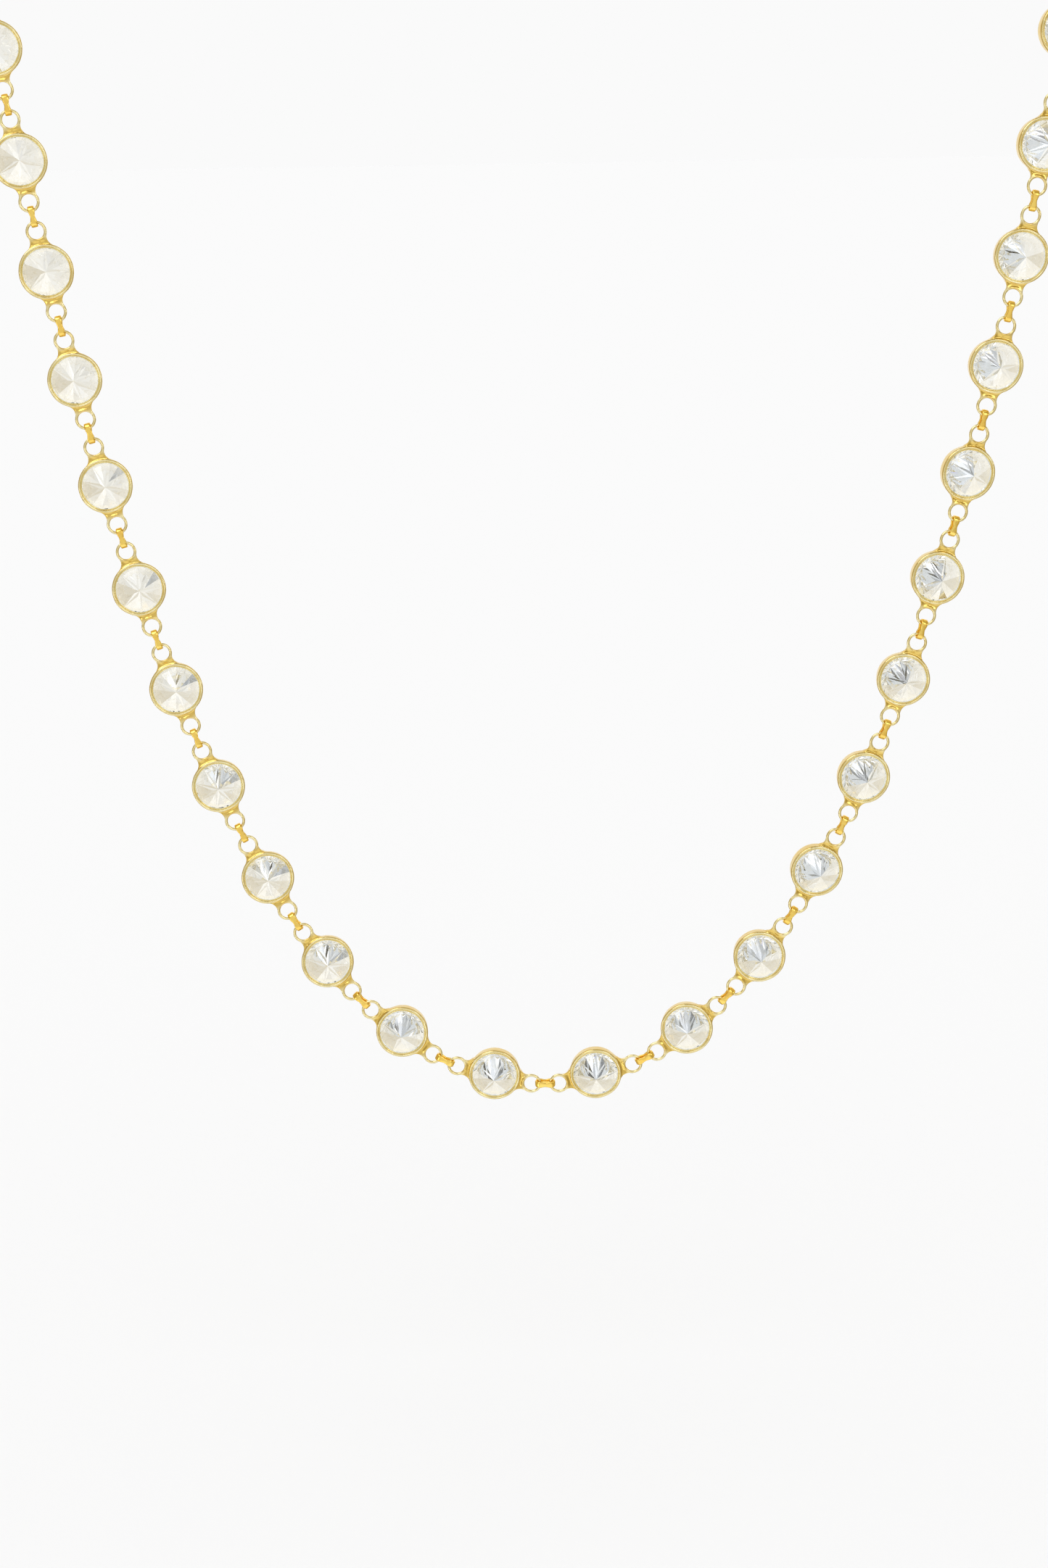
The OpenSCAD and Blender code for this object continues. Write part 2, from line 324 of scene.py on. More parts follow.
class LinkSizes(bpy.types.PropertyGroup):
    """The oval links of flat wire between the stations."""

    thickness: length("Thickness", "Of the flat wire of a link", 0.22)
    width: length("Width", "Of the flat wire of a link", 0.66)
    waist: length("Waist", "How deep a link is drawn in on each side in its middle", 0.1)
    hole_w: length("Hole width", "Width of the hole in a link", 0.62)
    gap: length("Gap", "Between a link and the loop wire that it pulls on", 0.15)


class ClaspSizes(bpy.types.PropertyGroup):
    """The barrel clasp at the nape."""

    barrel_d: length("Barrel diameter", "Across the barrel", 3.4)
    barrel_l: length("Barrel length", "Length of the barrel", 9.2)
    dome_r: length("Dome radius", "Radius of the domes that end the barrel", 4.7)
    neck_d: length("Neck diameter", "Necks that carry the clasp's loops", 0.6)


class Finishes(bpy.types.PropertyGroup):
    """Colours and polish of the metal, the stones and the stage."""

    gold: colour("Gold", "Plating of the settings and the clasp, on raised parts", "#F5EBBC")
    # Deep gold: random patches on all gold, and painted shade round the solder and down the bezel
    # walls
    gold_deep_and_shade: colour("Deep gold", "The same plating where the burnisher doesn't reach", "#E4C56C")
    gold_roughness: share("Gold roughness", "Microfacet roughness of the settings", 0.13)
    link_gold: colour("Link gold", "Plating of the links", "#FFE07A")
    link_gold_deep: colour("Deep link gold", "The same plating in patches", "#F2B840")
    link_roughness: share("Link roughness", "Microfacet roughness of the links", 0.12)
    stone: colour("Stone", "Tint of the stones", "#FCFEFF")
    floor: colour("Floor", "Matt paint of the floor", "#F3F3F3")
    room: colour("Room", "Light of the room at the horizon", "#FAFAFA")
    overhead: share("Overhead", "Light overhead as a share of that at the horizon", 1.2)
    metal_tent: colour("Metal tent", "What the gold reflects besides lamps", "#BDB18F")
    stone_tent: colour("Stone tent", "What shows through the stones besides lamps", "#FFFBF2")


GROUPS = ChainSizes, BezelSizes, StoneSizes, LinkSizes, ClaspSizes, Finishes


class NecklaceSettings(bpy.types.PropertyGroup):
    """All settings of the necklace."""

    chain: bpy.props.PointerProperty(type=ChainSizes)
    bezel: bpy.props.PointerProperty(type=BezelSizes)
    stone: bpy.props.PointerProperty(type=StoneSizes)
    link: bpy.props.PointerProperty(type=LinkSizes)
    clasp: bpy.props.PointerProperty(type=ClaspSizes)
    finish: bpy.props.PointerProperty(type=Finishes)


class Plain:
    """The settings' numbers in millimetres, degrees and shares."""

    def __init__(self, group):
        for name, prop in group.bl_rna.properties.items():
            if prop.type not in {"FLOAT", "INT"}:
                continue
            value = getattr(group, name)
            if prop.unit == "LENGTH":
                value = value / MM
            elif prop.unit == "ROTATION":
                value = math.degrees(value)
            setattr(self, name, value)


# The chain's line


def ramp(x, start, end):
    """A smooth step from 0 to 1."""
    u = min(max((x - start) / (end - start), 0), 1)
    return u * u * (3 - 2 * u)


def turned(axis, v, degrees):
    """The direction v turned about the axis square to it."""
    a = math.radians(degrees)
    return v * math.cos(a) + axis.cross(v) * math.sin(a)


def sine(degrees):
    return math.sin(math.radians(degrees))


class Line:
    """Where each station and link stands, in millimetres, as the part's source works it out."""

    # Angles that spread the small natural turns along the chain
    STATION_STEP = 97
    LINK_STEP = 61
    STONE_STEP = 31
    SIDE_STEP = 50
    # Pitches from the shoulder's end until the faces look outwards
    LIFT_PITCHES = 4
    # Pitches from the front middle until the side turn is full
    TURN_PITCHES = 5

    def __init__(self, settings):
        chain, bezel, link = Plain(settings.chain), Plain(settings.bezel), Plain(settings.link)
        self.chain, self.bezel, self.link_size = chain, bezel, link
        self.loop_mid_r = (bezel.loop_hole_d + bezel.loop_wire_d) / 2
        self.link_mid_r = (link.hole_w + link.thickness) / 2
        loop_to_loop = chain.pitch - 2 * bezel.loop_reach
        loop_hole_r = self.loop_mid_r - bezel.loop_wire_d / 2
        end_wire = loop_to_loop / 2 - (loop_hole_r - link.gap - link.thickness / 2)
        self.link_half = end_wire - self.link_mid_r
        self.link_to_loop = loop_to_loop / 2 - self.link_half
        # Arc lengths where the hanging front ends, the nape starts and the clasp's loop stands
        self.drop_end = chain.hanging * chain.pitch
        self.end_slope = math.atan(self.drop_end / chain.sag)
        self.nape_end = chain.per_side * chain.pitch + loop_to_loop / 2 + chain.clasp_span / 2
        front_x = chain.sag * math.asinh(self.drop_end / chain.sag)
        left_over = self.nape_end - self.drop_end - front_x * math.pi / 2
        self.nape_start = self.drop_end + left_over / (1 + math.cos(self.end_slope))
        self.first_loop = [self.link_way(0, 1)]
        for n in range(1, chain.per_side + 1):
            self.first_loop.append(self.first_loop[-1] + self.hop(n))
        self.clasp_loop = self.first_loop[-1]
        widest = max(p.x for p in self.first_loop)
        self.neck = Vector((0, self.clasp_loop.y - widest, self.clasp_loop.z))

    def bend(self, s):
        """How far the shoulder's bend, or behind it the nape's, has gone: up to a right angle."""
        start, end = self.drop_end, self.nape_start
        if s > self.nape_start:
            start, end = self.nape_start, self.nape_end
        return math.pi / 2 * (s - start) / (end - start)

    def tangent(self, s):
        """The way the chain runs."""
        if s <= self.drop_end:
            slope = math.atan(s / self.chain.sag)
            return Vector((math.cos(slope), 0, math.sin(slope)))
        bend = self.bend(s)
        if s <= self.nape_start:
            flat = math.cos(bend)
            return Vector(
                (flat * math.cos(self.end_slope), math.sin(bend), flat * math.sin(self.end_slope))
            )
        return Vector((-math.sin(bend), math.cos(bend), 0))

    def carried(self, s):
        """The direction square to the chain that is carried along it without any twist."""
        if s <= self.drop_end:
            return Vector((0, -1, 0))
        across, rise = math.cos(self.end_slope), math.sin(self.end_slope)
        bend = self.bend(s)
        if s <= self.nape_start:
            return Vector((math.sin(bend) * across, -math.cos(bend), math.sin(bend) * rise))
        return Vector((math.cos(bend) * across, math.sin(bend) * across, rise))

    def face(self, s):
        """The way a face looks: to the front, then up, then out from the neck."""
        pitch = self.chain.pitch
        start, end = self.drop_end - pitch, self.nape_start + self.LIFT_PITCHES * pitch
        lift = math.degrees(self.end_slope) * ramp(s, start, end)
        return turned(self.tangent(s), self.carried(s), lift)

    def station_s(self, n):
        return (n - 0.5) * self.chain.pitch

    def link_s(self, n):
        return n * self.chain.pitch

    def link_way(self, link, station):
        """From a station's loop to the middle of a link."""
        s = self.nape_end if station > self.chain.per_side else self.station_s(station)
        u, n = self.tangent(self.link_s(link)), self.face(s)
        return self.link_to_loop * (u - u.dot(n) * n).normalized() + self.link_half * u

    def hop(self, n):
        """From the first loop of station n to the first loop of the next one."""
        rod = 2 * self.bezel.loop_reach * self.tangent(self.station_s(n))
        return rod + self.link_way(n, n) + self.link_way(n, n + 1)

    def side_turn(self, s, side):
        """How far the hanging faces of a side turn about the chain, in degrees."""
        full = self.chain.right_turn if side > 0 else -self.chain.left_turn
        grown = ramp(s, 0, self.TURN_PITCHES * self.chain.pitch)
        return full * grown * (1 - ramp(s, self.drop_end, self.nape_start))

    def placed(self, middle, x, z, side):
        """The matrix that puts millimetre shapes in place, in metres."""
        flip = Matrix.Diagonal((side, 1, 1))
        p, x, z = flip @ (middle - self.neck), flip @ x, flip @ z
        m = Matrix((x, z.cross(x), z)).transposed().to_4x4() * MM
        m.translation = p * MM
        m[3][3] = 1
        return m

    def station(self, n, side):
        """Where a station stands."""
        s = self.station_s(n)
        t = self.tangent(s)
        small = self.chain.station_wobble * sine(self.STATION_STEP * n + self.SIDE_STEP * side)
        angle = self.side_turn(s, side) + small
        middle = self.first_loop[n - 1] + self.bezel.loop_reach * t
        return self.placed(middle, t, turned(t, self.face(s), angle), side)

    def stone(self, n, side):
        """Where its stone stands, spun about its own axis."""
        spin = math.radians(self.STONE_STEP * n + self.SIDE_STEP * side)
        return self.station(n, side) @ Matrix.Rotation(spin, 4, "Z")

    def link(self, n, side):
        """Where the link past a station stands, or for 0 the front middle one."""
        s = self.link_s(n)
        t, f = self.tangent(s), self.face(s)
        f = (f - f.dot(t) * t).normalized()
        middle = self.first_loop[n] - self.link_way(n, n + 1) if n else Vector()
        small = self.chain.link_wobble * sine(self.LINK_STEP * n + self.SIDE_STEP * side)
        angle = self.side_turn(s, side) + small if n else self.chain.middle_link_turn
        return self.placed(middle, t, turned(t, f, angle), side)

    def sides(self, first=1):
        """Number and side of each station, or of each link if the +X side starts at 0."""
        last = self.chain.per_side
        left = [(n, -1) for n in range(1, last + 1)]
        return left + [(n, 1) for n in range(first, last + 1)]


# Mesh making


def round_angles(count, shift=0):
    """Angles of evenly spaced points on a circle, shifted by a share of a step."""
    return [2 * math.pi * (i + shift) / count for i in range(count)]


def ring_strip(rings, closed=True):
    """Faces that join closed rings of equal point counts, and the last ring to the first."""
    n, count = len(rings[0]), len(rings)
    points = [p for ring in rings for p in ring]
    faces = []
    for i in range(count if closed else count - 1):
        a, b = i * n, (i + 1) % count * n
        for j in range(n):
            q = (j + 1) % n
            faces.append((a + j, a + q, b + q, b + j))
    return points, faces


def revolved(profile, steps):
    """A closed profile of (radius, height) turned about Z."""
    turns = round_angles(steps)
    return ring_strip([[(r * math.cos(a), r * math.sin(a), z) for r, z in profile] for a in turns])


def torus(centre_x, mid_r, wire_r, steps, around):
    """A ring of round wire in the XY plane."""
    up, turns = Vector((0, 0, 1)), round_angles(around)
    rings = []
    for a in round_angles(steps):
        out = Vector((math.cos(a), math.sin(a), 0))
        middle = Vector((centre_x, 0, 0)) + mid_r * out
        rings.append([middle + wire_r * (math.cos(t) * out + math.sin(t) * up) for t in turns])
    return ring_strip(rings)


def joined(parts):
    """Several (points, faces) as one."""
    points, faces = [], []
    for p, f in parts:
        start = len(points)
        points += [tuple(q) for q in p]
        faces += [tuple(start + i for i in face) for face in f]
    return points, faces


def copies(shape, places):
    """A shape of (points, faces) set in each of these places, as one."""
    points, faces = shape
    return joined(([m @ Vector(p) for p in points], faces) for m in places)


def mesh_of(name, points, faces, smooth=True):
    mesh = bpy.data.meshes.new(name)
    mesh.from_pydata(points, [], faces)
    mesh.validate()
    mesh.polygons.foreach_set("use_smooth", [smooth] * len(mesh.polygons))
    mesh.update()
    return mesh


def in_scene(name, data):
    """A new object in the scene."""
    new = bpy.data.objects.new(name, data)
    bpy.context.scene.collection.objects.link(new)
    return new


def with_modifiers(mesh, steps):
    """The mesh after these modifiers, each given as (kind, settings)."""
    worker = in_scene("worker", mesh)
    for i, (kind, settings) in enumerate(steps):
        modifier = worker.modifiers.new(f"step_{i}", kind)
        for name, value in settings.items():
            setattr(modifier, name, value)
    done = bpy.data.meshes.new_from_object(
        worker.evaluated_get(bpy.context.evaluated_depsgraph_get())
    )
    bpy.data.objects.remove(worker)
    bpy.data.meshes.remove(mesh)
    done.polygons.foreach_set("use_smooth", [True] * len(done.polygons))
    return done


def corners(mesh):
    """The places of a mesh's corners, one row each."""
    co = np.empty(len(mesh.vertices) * 3, np.float32)
    mesh.vertices.foreach_get("co", co)
    return co.reshape(-1, 3)


def put_corners(mesh, co):
    mesh.vertices.foreach_set("co", np.asarray(co, np.float32).ravel())
    mesh.update()


def add_piece(name, mesh, material, slot, *nodes):
    """Adds a piece of the necklace that stands for CAD nodes and takes this material; the slot is
    not used.
    """
    mesh.materials.clear()
    mesh.materials.append(material)
    piece = in_scene(name, mesh)
    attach(piece, "root")
    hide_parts(*nodes)
    return piece


def check_place(piece, node, room):
    """Stops the script where a piece is further off its CAD node's box than this, in mm."""
    low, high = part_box(node)
    co = corners(piece.data)
    off = max(abs(a - b) for a, b in zip([*co.min(0), *co.max(0)], [*low, *high]))
    if off > room * MM:
        raise RuntimeError(f"{piece.name} is {off / MM:.3f} mm off the box of {node}")


# Bezel, loops and webs


# Points round the wall, the rim, a loop and its wire, and steps along and across a web
WALL_STEPS, RIM_STEPS = 128, 144
LOOP_STEPS, WIRE_STEPS = 56, 18
WEB_STEPS = 28, 20
# Without its own seed, noise_vector takes the clock's and differs from run to run
NOISE_SEED = 1
# Voxel sizes of the stations in front and behind, and the share of faces kept
FRONT_VOXEL, NAPE_VOXEL = 0.05, 0.07
KEPT_SHARE = 0.25
# The rolled rim's radius as a share of its width, and how far it keeps inside the CAD's rim
ROLL_SHARE = 0.36
ROLL_INSET = 0.02, 0.01
# Section of the lip, as distance out from its opening and height over the plane of the loops
LIP_SECTION = (
    (0.085, 0.1),
    (0.055, 0.145),
    (0.02, 0.155),
    (-0.015, 0.125),
    (-0.03, 0.07),
    (-0.02, 0.015),
    (0.03, -0.03),
    (0.12, -0.06),
)


def girdle_height(stone, bezel):
    """Where the girdle's front edge stands: so deep that the pavilion just clears the lip."""
    return -(stone.girdle_d - bezel.lip_d) * stone.pavilion - 2 * SEAT_GAP


def wall_profile(bezel, stone):
    """The bezel's wall, seat and ledge, as (radius, height), up to just under the rim."""
    edge, girdle_room, ledge_fall = 0.06, 0.06, 0.25
    rim_lap, rim_rise = 0.1, 0.03
    girdle_z = girdle_height(stone, bezel)
    seat_r = stone.girdle_d / 2 + SEAT_GAP
    ledge_z, ledge_r = girdle_z - stone.girdle_t - SEAT_GAP, seat_r - bezel.ledge_w
    back_z, back_r = bezel.rim_top - bezel.depth, bezel.back_d / 2
    top_z, top_r = bezel.rim_top - bezel.rim_w / 2, bezel.outer_d / 2
    wall = [(back_r - edge, back_z), (back_r, back_z + edge)]
    wall += [
        (back_r + (top_r - back_r) * u, back_z + (top_z - back_z) * u)
        for u in (0.25, 0.5, 0.75, 1)
    ]
    return wall + [
        (top_r - rim_lap, top_z + rim_rise),
        (seat_r - 0.02, -0.02),
        (seat_r, girdle_z + girdle_room),
        (seat_r, ledge_z),
        (ledge_r, ledge_z - ledge_fall),
        (ledge_r, back_z + edge),
        (ledge_r + edge, back_z),
    ]


def rim_profile(bezel):
    """The rolled rim and, inside it, the thin lip that is burnished down over the stone."""
    roll = bezel.rim_w * ROLL_SHARE
    mid_r = bezel.outer_d / 2 - ROLL_INSET[0] - roll
    mid_z = bezel.rim_top - ROLL_INSET[1] - roll
    foot = (bezel.outer_d / 2 - 0.03, -0.06)
    groove = (mid_r - roll - 0.015, mid_z - 0.04)
    arc = [
        (mid_r + roll * math.cos(a), mid_z + roll * math.sin(a))
        for a in (math.radians(d) for d in range(0, 181, 15))
    ]
    lip = [(bezel.lip_d / 2 + out, z) for out, z in LIP_SECTION]
    return [foot, *arc, groove, *lip]


def web_block(bezel, loop_mid_r, flip):
    """The web between bezel and loop: concave edges, a hollow top and solder at the bezel.

    The other end's web has flip -1.
    """
    bite, wall_lap = 0.02, 0.12
    hollow_depth, hollow_place, hollow_spread = 0.12, 0.45, 0.28
    solder_rise, solder_reach = 0.1, 0.3
    flare_depth, flare_start, flare_reach = 0.5, 0.45, 0.5
    wall_r = bezel.outer_d / 2
    near = wall_r + bezel.web_fillet_r - bite
    far = loop_mid_r + bezel.loop_wire_d / 2 + bezel.web_fillet_r - bite
    angle = math.acos((near**2 + bezel.loop_reach**2 - far**2) / (2 * near * bezel.loop_reach))
    corner = Vector((near * math.cos(angle), near * math.sin(angle)))
    start = math.atan2(-corner.y, -corner.x)
    stop = math.atan2(-corner.y, bezel.loop_reach - corner.x)
    along, across = WEB_STEPS
    upper, lower = [], []
    for i in range(along + 1):
        u = i / along
        a = start + (stop - start) * u
        edge_x = corner.x + bezel.web_fillet_r * math.cos(a)
        edge_y = corner.y + bezel.web_fillet_r * math.sin(a)
        middle_x = (wall_r - wall_lap) * (1 - u) + (bezel.loop_reach - loop_mid_r) * u
        hollow = hollow_depth * math.exp(-(((u - hollow_place) / hollow_spread) ** 2))
        run_up = solder_rise * max(1 - u / solder_reach, 0) ** 2
        for j in range(across + 1):
            v = 2 * j / across - 1
            x = middle_x * (1 - v * v) + edge_x * v * v
            swell = min(max((wall_r + flare_start - x) / flare_reach, 0), 1)
            top = bezel.web_t / 2 - hollow * (1 - v**4) + run_up
            bottom = -bezel.web_t / 2 - flare_depth * swell * swell
            upper.append((flip * x, flip * v * edge_y, top))
            lower.append((flip * x, flip * v * edge_y, bottom))
    n, row = len(upper), across + 1
    faces = []
    for i in range(along):
        for j in range(across):
            a, c = i * row + j, (i + 1) * row + j
            faces += [(a, c, c + 1, a + 1), (n + a, n + a + 1, n + c + 1, n + c)]
    # The outline, once round, that the side faces stand on
    rim = [j for j in range(row)] + [i * row + across for i in range(1, along + 1)]
    rim += [along * row + j for j in range(across - 1, -1, -1)]
    rim += [i * row for i in range(along - 1, 0, -1)]
    for p, q in zip(rim, rim[1:] + rim[:1]):
        faces.append((p, q, n + q, n + p))
    return upper + lower, faces


def station_shape(line, stone, voxel):
    """One soldered station in millimetres: wall, loops and webs fused with rounded joints.

    The rim is laid over them unfused, because fusing would blur its roll and its lip.
    """
    bezel, mid_r = line.bezel, line.loop_mid_r
    # The wire is a trace thicker than in the CAD, because fusing shrinks it
    wire_r = bezel.loop_wire_d / 2 + 0.012
    parts = [revolved(wall_profile(bezel, stone), WALL_STEPS)]
    for flip in (1, -1):
        parts.append(torus(flip * bezel.loop_reach, mid_r, wire_r, LOOP_STEPS, WIRE_STEPS))
        parts.append(web_block(bezel, mid_r, flip))
    fused = with_modifiers(
        mesh_of("fused", *joined(parts)),
        [
            ("REMESH", {"mode": "VOXEL", "voxel_size": voxel, "adaptivity": 0.0}),
            ("SMOOTH", {"factor": 0.5, "iterations": 4}),
            ("DECIMATE", {"ratio": KEPT_SHARE}),
            ("SMOOTH", {"factor": 0.4, "iterations": 1}),
        ],
    )
    body = [tuple(v.co) for v in fused.vertices], [tuple(p.vertices) for p in fused.polygons]
    bpy.data.meshes.remove(fused)
    return mesh_of("station", *joined([body, revolved(rim_profile(bezel), RIM_STEPS)]))


def plating_tone(mesh, line):
    """How deep the plating's colour is at each corner.

    Pale on rims; deep round the solder and down the outer wall under the rim, which is painted
    shade; and under 0 inside the cup, between lip and back, where the nickel shows.
    """
    # Painted shade: how far the web darkens where it meets the bezel, and the wall down under the
    # rim
    web_painted_shade, wall_painted_shade, cup_tone = 0.9, 0.6, -1
    co = corners(mesh)
    flat, height = np.hypot(co[:, 0], co[:, 1]), co[:, 2]
    outer, lip_r = line.bezel.outer_d / 2, line.bezel.lip_d / 2
    back_z = line.bezel.rim_top - line.bezel.depth
    # Shares from 0 to 1 of the painted shade: from the wall to mid-web, and down the wall
    web = np.clip((flat - outer + 0.12) / 0.2, 0, 1) * np.clip((outer + 0.75 - flat) / 0.5, 0, 1)
    wall = np.clip(-height / 0.2, 0, 1) * (np.abs(flat - outer) < 0.1)
    cup = (flat < lip_r + 0.22) & (height < -0.04) & (height > back_z + 0.12)
    tone = np.where(cup, cup_tone, np.maximum(web_painted_shade * web, wall_painted_shade * wall))
    layer = mesh.attributes.new("plating_tone", "FLOAT", "POINT")
    layer.data.foreach_set("value", tone.astype(np.float32))


def hand_worked(co, seed, lip_r):
    """Small natural unevenness: the rims wander, and the burnished lip's edge most of all."""
    # Length of each wave and how far it moves a corner, and the width of the lip's zone
    long_wave, long_move = 1.5, 0.02
    fine_wave, fine_move = 0.45, 0.006
    lip_waves, lip_move, lip_zone = 3.2, 0.045, 0.12
    spots = [Vector(p) for p in co.tolist()]
    far = np.array([noise.noise_vector(p / long_wave + seed) for p in spots])
    fine = np.array([noise.noise_vector(p / fine_wave + 3 * seed) for p in spots])
    moved = co + far * long_move + fine * fine_move
    flat = np.hypot(co[:, 0], co[:, 1])
    near_lip = np.clip(1 - np.abs(flat - lip_r) / lip_zone, 0, 1) * (co[:, 2] > -0.02)
    for i in np.nonzero(near_lip)[0]:
        x, y = co[i, :2] / flat[i]
        wander = noise.noise(Vector((x, y, 0)) * lip_waves + seed * 2)
        moved[i, :2] += np.array((x, y)) * lip_move * wander * near_lip[i]
    return moved


class NECKLACE_OT_stations(bpy.types.Operator):
    """Makes the 44 gold stations: bezel, two loops and two webs, fused as solder fuses them"""

    bl_idname = "necklace.stations"
    bl_label = "Make stations"

    def execute(self, context):
        settings = context.scene.necklace
        line = Line(settings)
        look = settings.finish
        gold = polished_gold(
            "gold_plated_settings_burnished", look.gold, look.gold_deep_and_shade, look.gold_roughness
        )
        noise.seed_set(NOISE_SEED)
        stone = Plain(settings.stone)
        front = station_shape(line, stone, FRONT_VOXEL)
        nape = station_shape(line, stone, NAPE_VOXEL)
        # Plating tone with painted shade round the solder and down the walls, and bare nickel in
        # the cups
        for shape in (front, nape):
            plating_tone(shape, line)
        for n, side in line.sides():
            shape = front if n <= line.chain.hanging + 1 else nape
            mesh = shape.copy()
            # Far apart in the noise, so that no two stations are alike
            seed = Vector((7.3 * n, 11.9 * side, 2.1 * n))
            put_corners(mesh, hand_worked(corners(shape), seed, line.bezel.lip_d / 2))
            mesh.transform(line.station(n, side))
            word = "left" if side < 0 else "right"
            node = f"{word}_station_{n:02d}"
            # Nothing stands past the CAD's own box
            put_corners(mesh, np.clip(corners(mesh), *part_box(node)))
            piece = add_piece(f"bezel_{word}_{n:02d}", mesh, gold, "gold", node)
            check_place(piece, node, room=0.12)
        for shape in (front, nape):
            bpy.data.meshes.remove(shape)
        return {"FINISHED"}


# Stones


# Facet corners, as shares of the stone's radius and of the height of crown or pavilion
STAR_R_SHARE, STAR_H_SHARE = 1.02, 0.44
MAIN_R_SHARE, MAIN_H_SHARE = 0.24, 0.79


def brilliant(stone, girdle_z):
    """A round brilliant in millimetres with its point to the front: every facet is flat."""
    radius = stone.girdle_d / 2
    pavilion_h, crown_h = stone.pavilion * stone.girdle_d, stone.crown * stone.girdle_d
    low_z = girdle_z - stone.girdle_t
    table_z = low_z - crown_h
    star_r = STAR_R_SHARE * (stone.table + 1) / 2 * radius

    def ring(n, r, z, shift=0):
        return [(r * math.cos(a), r * math.sin(a), z) for a in round_angles(n, shift)]

    points = (
        ring(8, stone.table * radius, table_z)
        + ring(8, star_r, table_z + STAR_H_SHARE * crown_h, 0.5)
        + ring(16, radius, low_z)
        + ring(16, radius, girdle_z)
        + ring(8, MAIN_R_SHARE * radius, girdle_z + MAIN_H_SHARE * pavilion_h, 0.5)
        + [(0, 0, girdle_z + pavilion_h)]
    )
    # Where each ring of corners starts in the list
    table, star, low, high, main, culet = 0, 8, 16, 32, 48, 56
    faces = [tuple(reversed(range(8)))]
    for i in range(8):
        q, r = (i + 1) % 8, (i + 7) % 8
        a, b, c = 2 * i, 2 * i + 1, (2 * i + 2) % 16
        faces += [
            (table + i, table + q, star + i),
            (table + i, star + i, low + a),
            (table + i, low + a, star + r),
            (star + i, low + b, low + a),
            (star + i, low + c, low + b),
            (high + a, high + b, main + i),
            (high + b, high + c, main + i),
            (high + a, main + i, culet),
            (main + i, high + c, culet),
        ]
    for i in range(16):
        q = (i + 1) % 16
        faces.append((low + i, low + q, high + q, high + i))
    return points, faces


class NECKLACE_OT_stones(bpy.types.Operator):
    """Makes the cut stones, one in each bezel, with flat facets"""

    bl_idname = "necklace.stones"
    bl_label = "Make stones"

    def execute(self, context):
        settings = context.scene.necklace
        line = Line(settings)
        stone = Plain(settings.stone)
        shape = brilliant(stone, girdle_height(stone, line.bezel))
        places = [line.stone(n, side) for n, side in line.sides()]
        mesh = mesh_of("cut_stones", *copies(shape, places), smooth=False)
        zirconia = cut_zirconia("cubic_zirconia_polished", settings.finish.stone)
        piece = add_piece("cut_stones", mesh, zirconia, "stone", "stones")
        check_place(piece, "stones", room=0.01)
        return {"FINISHED"}


# Links


# Steps round each end of a link, along each of its flanks, and round its section
END_STEPS, FLANK_STEPS, SECTION_STEPS = 12, 8, 20
# Power that rounds the flat wire's section: 1 would be an oval and 0 a square
SECTION_POWER = 0.6


def link_shape(line):
    """An oval link of flat wire in the XZ plane: rounded edges and a waist in each long side."""
    half, mid_r, size = line.link_half, line.link_mid_r, line.link_size
    path = []
    for end in (1, -1):
        for i in range(END_STEPS + 1):
            a = math.radians(90 - 180 * i / END_STEPS)
            out = Vector((end * math.cos(a), 0, end * math.sin(a)))
            path.append((Vector((end * half, 0, 0)) + mid_r * out, out, 0))
        out = Vector((0, 0, -end))
        for i in range(1, FLANK_STEPS):
            u = 1 - 2 * i / FLANK_STEPS
            drawn_in = size.waist * (0.5 + 0.5 * math.cos(math.pi * u))
            path.append((Vector((end * u * half, 0, 0)) + mid_r * out, out, drawn_in))

    def squared(x):
        return math.copysign(abs(x) ** SECTION_POWER, x)

    turns = round_angles(SECTION_STEPS)
    section = [(squared(math.cos(a)) * size.thickness / 2, squared(math.sin(a))) for a in turns]
    rings = []
    for p, out, drawn_in in path:
        side = size.width / 2 - drawn_in
        rings.append([p + across * out + Vector((0, y * side, 0)) for across, y in section])
    return ring_strip(rings)


class NECKLACE_OT_links(bpy.types.Operator):
    """Makes the oval links of flat wire that couple the stations"""

    bl_idname = "necklace.links"
    bl_label = "Make links"

    def execute(self, context):
        settings = context.scene.necklace
        line = Line(settings)
        look = settings.finish
        gold = polished_gold(
            "gold_plated_links_flat_wire", look.link_gold, look.link_gold_deep, look.link_roughness
        )
        places = [line.link(n, side) for n, side in line.sides(first=0)]
        mesh = mesh_of("oval_links", *copies(link_shape(line), places))
        piece = add_piece("oval_links", mesh, gold, "link_gold", "links")
        check_place(piece, "links", room=0.05)
        return {"FINISHED"}


# Clasp


# Points round the barrel, along each dome, and round a loop of the clasp and its wire
BARREL_STEPS, DOME_STEPS = 64, 7
CLASP_LOOP_STEPS, CLASP_WIRE_STEPS = 48, 16


